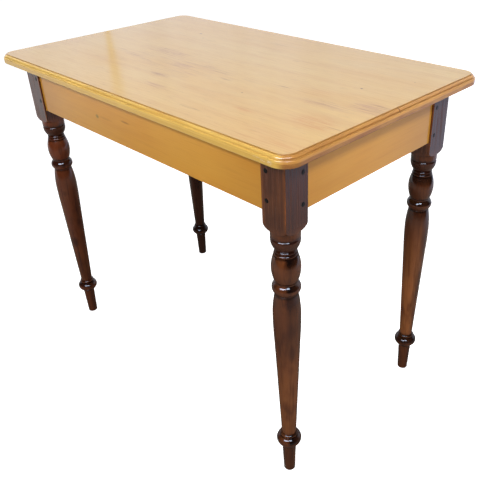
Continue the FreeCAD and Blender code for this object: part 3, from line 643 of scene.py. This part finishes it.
def leg_material(corner, dark, warm, tint, shoulders, least_shoulder_shade, pale, pale_below, sheet, shows):
    """Dark stain over streaked brown wood, with painted shade on the upper shoulders of the turnings."""
    material, graph = new_material("dark_stained_leg_" + corner)
    low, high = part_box("leg_" + corner)
    middle = (low + high) / 2
    place = graph.place()
    x, y, z = graph.parts(place)
    side, _, upward = graph.face()
    grain = graph.vector(z, x, y)
    streak = graph.figure(grain, (5.0, 130.0, 130.0), detail=4.0, roughness=0.6)
    fibre = graph.figure(grain, (22.0, 700.0, 700.0))
    patch = graph.figure(grain, (9.0, 26.0, 26.0))
    vein = graph.figure(grain, (7.0, 300.0, 300.0), detail=2.0)
    across = beside_axis(graph, place, middle)
    head = graph.fade(z, *HEAD_FROM)
    shaft = graph.times(graph.fade(z, *SHAFT_FROM), graph.fade(z, pale_below, pale_below - SHAFT_PALES_OVER))

    # The sheets show on upward faces most, and neither on a pale shaft nor on the head
    contrast = graph.times(graph.rise(upward, least=0.50, more=0.50, between=(-0.05, 0.30)), shows)
    hidden = graph.times(shaft, min(1.0, PALE_HIDES * pale))
    contrast = graph.times(graph.smaller(contrast, 1.0), graph.less(1.0, hidden))
    light = graph.blend(contrast, PLAIN_LIGHT, sheet_light(graph, grain, across, sheet))
    light = graph.blend(head, light, HEAD_LIGHT)
    wood = graph.mix(light, LEG_DARK, LEG_RED)

    # Bare wood: its tint, patches, streaks and fibres
    warmer = graph.rise(z, least=0.4, more=0.6, between=WARMER_FROM)
    wood = graph.stain(wood, tint, graph.times(graph.less(1.0, head), warmer), strength=warm)
    wood = graph.stain(wood, LEG_ORANGE, patch, between=(0.50, 0.75), strength=0.50)
    wood = graph.stain(wood, LEG_PALE, shaft, strength=pale)
    wood = graph.stain(wood, LEG_DARK, patch, between=(0.46, 0.28), strength=0.55)
    wood = graph.stain(wood, LEG_DARK, streak, between=(0.50, 0.30), strength=0.40)
    wood = graph.stain(wood, LEG_BLACK, fibre, between=(0.45, 0.30), strength=0.25)

    # Painted shade on the upper shoulders; stain and painted shade in spots, grooves and on the cup; darker
    # on the head's faces at the table's ends
    # Painted shade on the upward faces of the shoulders, less where the wood is lighter
    shoulder_shade = graph.larger(graph.math("MULTIPLY_ADD", light, *SHOULDER_SHADE_BY_LIGHT, clamp=True), least_shoulder_shade)
    shoulder_shade = graph.times(shoulder_shade, shoulders)
    wood = graph.stain(wood, LEG_BLACK, upward, between=(0.02, 0.28), strength=shoulder_shade)
    ragged = graph.swing(streak, 1.2)
    # Blotches of stain, and painted shade at some of the spots
    spots_and_shade = marks(graph, graph.vector(z, across, 0.0), LEG_SPOTS_AND_SHADE[corner], ragged)
    wood = graph.stain(wood, LEG_DARK, spots_and_shade, strength=0.70)
    # Gathered stain and painted shade in the grooves; stain and a painted shadow of the head on the cup
    grooves = [((height, 0.0), (half, 1.0), 1.0) for height, half in LEG_GROOVES]
    wood = graph.stain(wood, LEG_BLACK, marks(graph, graph.vector(z, 0.0, 0.0), grooves, 0.0), strength=0.55)
    wood = graph.stain(wood, LEG_DARK, graph.band(z, *SHADED_CUP, soft=0.014), strength=0.60)
    end_face = graph.times(graph.fade(graph.absolute(side), 0.75, 0.95), head)
    wood = graph.stain(wood, LEG_DARK, end_face, strength=0.45)

    # Worn edges and veins of the head
    worn = graph.times(head, leg_wear(graph, place, middle, high.x - middle.x))
    wood = graph.stain(wood, LEG_WORN, patch, between=(0.25, 0.55), strength=worn)
    wood = graph.stain(wood, LEG_BLACK, vein, between=(0.52, 0.36), strength=graph.times(head, 0.22))
    wood = graph.stain(wood, LEG_ORANGE, vein, between=(0.54, 0.68), strength=graph.times(head, 0.18))
    # Painted shade over the whole leg, as much as its dark setting gives
    wood = graph.mix(dark, wood, LEG_BLACK)

    gloss = graph.rise(patch, least=0.105, more=0.04, between=(0.35, 0.70))
    gloss = graph.add(gloss, graph.times(graph.fade(vein, 0.48, 0.70), graph.times(head, 0.28)))
    graph.shade(wood, gloss, graph.bump(fibre, distance=0.00004, strength=0.25), IOR=1.5)
    return material


def peg_material():
    material, graph = new_material("dark_peg")
    speck = graph.figure(graph.place(), (700.0, 700.0, 700.0), detail=4.0)
    wood = graph.mix(graph.fade(speck, 0.35, 0.65), PEG_BLACK, PEG_BROWN)
    gloss = graph.add(0.09, graph.times(speck, 0.06))
    graph.shade(wood, gloss, graph.bump(speck, distance=0.0001, strength=0.2), IOR=1.3)
    return material


def inner_wood_material():
    material, graph = new_material("bare_pine")
    place = graph.place()
    fibre = graph.figure(place, (60.0, 500.0, 500.0))
    rings = growth_rings(graph, place, pith=(0.02, 0.60), tilt=0.02, spacing=0.0035, wander=0.02)
    wood = graph.mix(graph.fade(fibre, 0.3, 0.7), INNER_PALE, INNER_GOLD)
    wood = graph.stain(wood, INNER_LINE, rings, strength=0.5)
    gloss = graph.add(0.55, graph.times(fibre, 0.2))
    graph.shade(wood, gloss, graph.bump(fibre, distance=0.0001, strength=0.5), IOR=1.45)
    return material


def screw_material():
    material, graph = new_material("dull_steel")
    stain = graph.figure(graph.place(), (260.0, 260.0, 260.0), detail=4.0)
    metal = graph.mix(graph.fade(stain, 0.4, 0.7), STEEL, STEEL_STAIN)
    gloss = graph.add(0.30, graph.times(stain, 0.3))
    graph.shade(metal, gloss, graph.bump(stain, distance=0.0001, strength=0.4), Metallic=1.0)
    return material


def dress_table():
    front_board = top_material("honey_pine_front_board", pith=(-0.115, 0.640), tilt=0.030)
    back_board = top_material("honey_pine_back_board", pith=(0.170, 0.610), tilt=-0.022)
    dress(front_board, "top_board_front")
    dress(back_board, "top_board_back")
    leg_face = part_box("leg_back_right")[0]
    dress(rail_material("honey_pine_front_rail", "X", leg_face.x, marked=True), "rail_front")
    dress(rail_material("honey_pine_back_rail", "X", leg_face.x, marked=False), "rail_back")
    end_rails = rail_material("honey_pine_end_rail", "Y", leg_face.y, marked=False)
    dress(end_rails, "rail_left", "rail_right")
    for corner, stains in LEG_STAINS_AND_SHADE.items():
        dress(leg_material(corner, **stains), "leg_" + corner)
    dress(peg_material(), *[name for name in nodes if name.startswith("pegs_")])
    buttons = [name for name in nodes if name.startswith("button_") and name != "button_screws"]
    dress(inner_wood_material(), "top_dowels", *buttons)
    dress(screw_material(), "button_screws")


# Stage: white to the camera, but the table mirrors a warm floor, a pale backdrop and a dim room
WHITE = (1.0, 1.0, 1.0, 1.0)
ROOM = (0.03, 0.03, 0.03, 1.0)

# Floor as the camera sees it
FLOOR_HALF = 9.0
PALE_FLOOR = (0.80, 0.80, 0.81, 1.0)
FLOOR_GLOW = 0.92

# Floor as the varnish mirrors it, glowing though it is no lamp and so also lighting the table: a painted
# shadow under the table, then warm, dim farther off, and pale on some sides
SHADOW_UNDER_TABLE = (0.10, 0.09, 0.08, 1.0)
NEAR_FLOOR = (0.36, 0.34, 0.31, 1.0)
FAR_FLOOR = (0.95, 0.97, 1.0, 1.0)
RIGHT_FLOOR = (0.90, 0.97, 1.25, 1.0)
SHADED_UNTIL = (0.30, 0.95)
DIM_FROM = (1.60, 2.30)
PALE_FROM = (1.35, 2.60)
# Level directions in which the floor is dim, and in which it is pale from near on
DIM_SIDE = (0.72, -0.69)
DIM_SIDE_ENDS = (0.85, 0.50)
PALE_SIDE = (0.70, 0.71)
PALE_SIDE_FROM = (0.75, 2.15)
COOL_FROM = (0.20, 0.80)
DIM_IN_FRONT = (-2.30, -1.60)
DIM_AT_RIGHT = (1.78, 1.42)

# Backdrop behind the table, with folds and a narrow gap that leans and widens upwards
BACKDROP = (0.955, 0.99, 1.12, 1.0)
BACKDROP_FOLD = (0.835, 0.86, 0.97, 1.0)
BACKDROP_BEARING = math.radians(-145)
BACKDROP_HALF = math.radians(58)
BACKDROP_SOFT = 0.40
BACKDROP_TOP = (0.75, 0.45)
FOLDS = 16.0
GAP_GOLD = (0.82, 0.67, 0.46, 1.0)
GAP_BEARING = math.radians(-119.85)
GAP_LEAN = -0.04
GAP_HALF = math.radians(0.18)
GAP_EDGE = (1.7 * GAP_HALF, 0.2 * GAP_HALF)
GAP_TOP = (0.40, 0.24)
GAP_WIDENS = (20.0, -2.9)
GAP_LEAST = 0.5

# Lamps: place, width and height, power in watts, tint, and whether the varnish mirrors them
COOL = (0.66, 0.78, 1.0, 1.0)
LIGHT_TARGET = Vector((0.15, -0.05, 0.55))
LAMPS = {
    "softbox_left": ((0.50, -1.50, 1.45), (0.90, 0.65), 36.0, COOL, True),
    "softbox_middle": ((1.05, -1.30, 1.66), (0.50, 0.40), 12.0, COOL, True),
    "softbox_right": ((1.45, -0.80, 1.85), (0.55, 0.65), 24.0, COOL, True),
    "front_key": ((-0.15, -1.55, 1.69), (0.40, 0.10), 14.2, WHITE, False),
    "end_key": ((1.50, -0.26, 1.80), (0.24, 0.24), 13.3, WHITE, False),
    "camera_fill": ((1.55, -1.45, 1.30), (0.80, 0.80), 9.0, WHITE, False),
    "front_fill": ((0.30, -2.24, 1.00), (1.20, 1.20), 9.2, WHITE, False),
    "end_fill": ((2.27, -0.40, 1.00), (1.20, 1.20), 10.8, WHITE, False),
    "ceiling_fill": ((-0.60, 0.45, 2.10), (1.20, 1.20), 13.3, WHITE, False),
    "back_fill": ((-0.30, 4.00, 1.10), (1.20, 1.20), 26.0, WHITE, False),
}


def stage_mix(graph, seen, mirrored):
    """What the camera sees, and what the table's varnish sees."""
    mixed = graph.node("MixShader", {"Fac": graph.node("LightPath").outputs["Is Camera Ray"]})
    graph.tree.links.new(mirrored.outputs[0], mixed.inputs[1])
    graph.tree.links.new(seen.outputs[0], mixed.inputs[2])
    return mixed.outputs[0]


def mirrored_floor(graph):
    """Colour that the floor glows with, seen in the varnish and lighting the table, with a painted shadow
    under the table.
    """
    place = graph.place()
    x, y, _ = graph.parts(place)
    away = graph.distance_from(place, (0, 0, 0), (1, 1, 0))
    towards = graph.add(graph.times(x, DIM_SIDE[0]), graph.times(y, DIM_SIDE[1]))
    rightwards = graph.add(graph.times(x, PALE_SIDE[0]), graph.times(y, PALE_SIDE[1]))
    aside = graph.fade(graph.over(towards, away), *DIM_SIDE_ENDS)
    pale = graph.larger(graph.fade(away, *PALE_FROM), graph.fade(rightwards, *PALE_SIDE_FROM))
    pale = graph.times(graph.times(pale, aside), graph.fade(y, *DIM_IN_FRONT))
    pale = graph.times(pale, graph.fade(x, *DIM_AT_RIGHT))
    far_floor = graph.mix(graph.fade(rightwards, *COOL_FROM), FAR_FLOOR, RIGHT_FLOOR)
    boards = graph.mix(graph.fade(away, *SHADED_UNTIL), SHADOW_UNDER_TABLE, NEAR_FLOOR)
    boards = graph.mix(graph.fade(away, *DIM_FROM), boards, ROOM)
    return graph.mix(pale, boards, far_floor)


def add_floor():
    corners = [(-FLOOR_HALF, -FLOOR_HALF, 0), (FLOOR_HALF, -FLOOR_HALF, 0),
               (FLOOR_HALF, FLOOR_HALF, 0), (-FLOOR_HALF, FLOOR_HALF, 0)]
    mesh = bpy.data.meshes.new("floor")
    mesh.from_pydata(corners, [], [(0, 1, 2, 3)])
    floor = bpy.data.objects.new("floor", mesh)
    bpy.context.scene.collection.objects.link(floor)
    material, graph = new_material("pale_floor")
    # The floor glows with this colour for all but camera rays, though it is no lamp
    mirrored = graph.node("Emission", {"Color": mirrored_floor(graph), "Strength": 1.0})
    paper = graph.node("BsdfDiffuse", {"Color": PALE_FLOOR})
    glow = graph.node("Emission", {"Color": WHITE, "Strength": FLOOR_GLOW})
    seen = graph.node("AddShader")
    graph.tree.links.new(paper.outputs[0], seen.inputs[0])
    graph.tree.links.new(glow.outputs[0], seen.inputs[1])
    graph.show(stage_mix(graph, seen, mirrored), "OutputMaterial")
    mesh.materials.append(material)


def mirrored_room(graph):
    """Colour of the surroundings in the varnish: the backdrop with its gap, and a dim room elsewhere."""
    x, y, z = graph.parts(graph.node("TexCoord").outputs["Generated"])
    bearing = graph.math("ARCTAN2", x, graph.times(y, -1.0))
    turn = graph.less(bearing, BACKDROP_BEARING)
    off_backdrop = graph.math("ARCCOSINE", graph.math("COSINE", turn))
    beside = graph.fade(off_backdrop, BACKDROP_HALF + BACKDROP_SOFT, BACKDROP_HALF)
    backdrop = graph.times(beside, graph.fade(z, *BACKDROP_TOP))
    folds = graph.figure(graph.vector(turn, 0.0, 0.0), (FOLDS, FOLDS, FOLDS), detail=2.0)
    paper = graph.mix(graph.fade(folds, 0.35, 0.70), BACKDROP, BACKDROP_FOLD)
    off_gap = graph.absolute(graph.less(bearing, graph.math("MULTIPLY_ADD", z, GAP_LEAN, GAP_BEARING)))
    wider = graph.larger(graph.math("MULTIPLY_ADD", z, *GAP_WIDENS), GAP_LEAST)
    gap = graph.times(graph.fade(graph.over(off_gap, wider), *GAP_EDGE), graph.fade(z, *GAP_TOP))
    return graph.mix(gap, graph.mix(backdrop, ROOM, paper), GAP_GOLD)


def add_world():
    world = bpy.data.worlds.new("studio")
    bpy.context.scene.world = world
    world.use_nodes = True
    graph = Graph(world.node_tree)
    mirrored = graph.node("Background", {"Color": mirrored_room(graph), "Strength": 1.0})
    seen = graph.node("Background", {"Color": WHITE, "Strength": 1.0})
    graph.show(stage_mix(graph, seen, mirrored), "OutputWorld")


def add_lamp(name, place, size, power, tint, mirrored):
    """A lamp, either mirrored in the varnish or lighting the wood, so that each can be set alone."""
    light = bpy.data.lights.new(name, "AREA")
    light.shape = "RECTANGLE"
    light.size, light.size_y = size
    light.energy = power
    light.color = tint[:3]
    lamp = bpy.data.objects.new(name, light)
    lamp.location = place
    lamp.rotation_euler = (LIGHT_TARGET - Vector(place)).to_track_quat("-Z", "Y").to_euler()
    lamp.visible_glossy = mirrored
    lamp.visible_diffuse = not mirrored
    bpy.context.scene.collection.objects.link(lamp)


def add_camera():
    azimuth, elevation, roll = CAMERA_AZIMUTH, CAMERA_ELEVATION, CAMERA_ROLL
    level = Vector((math.cos(azimuth), math.sin(azimuth), 0))
    behind = Vector((math.sin(azimuth), -math.cos(azimuth), 0))
    back = behind * math.cos(elevation) + Vector((0, 0, math.sin(elevation)))
    rise = back.cross(level)
    right = level * math.cos(roll) + rise * math.sin(roll)
    up = rise * math.cos(roll) - level * math.sin(roll)
    lens = bpy.data.cameras.new("camera")
    lens.sensor_width = SENSOR
    lens.lens = SENSOR * FOCAL_PIXELS / IMAGE_SIDE
    lens.shift_x = 0.5 - AXIS_PIXEL[0] / IMAGE_SIDE
    lens.shift_y = AXIS_PIXEL[1] / IMAGE_SIDE - 0.5
    camera = bpy.data.objects.new("camera", lens)
    turned = Matrix([right, up, back]).transposed().to_4x4()
    camera.matrix_world = Matrix.Translation(CAMERA_TARGET + back * CAMERA_DISTANCE) @ turned
    bpy.context.scene.collection.objects.link(camera)
    bpy.context.scene.camera = camera


dress_table()
add_floor()
add_world()
for lamp_name, lamp_settings in LAMPS.items():
    add_lamp(lamp_name, *lamp_settings)
add_camera()
bpy.context.scene.view_settings.view_transform = "Standard"
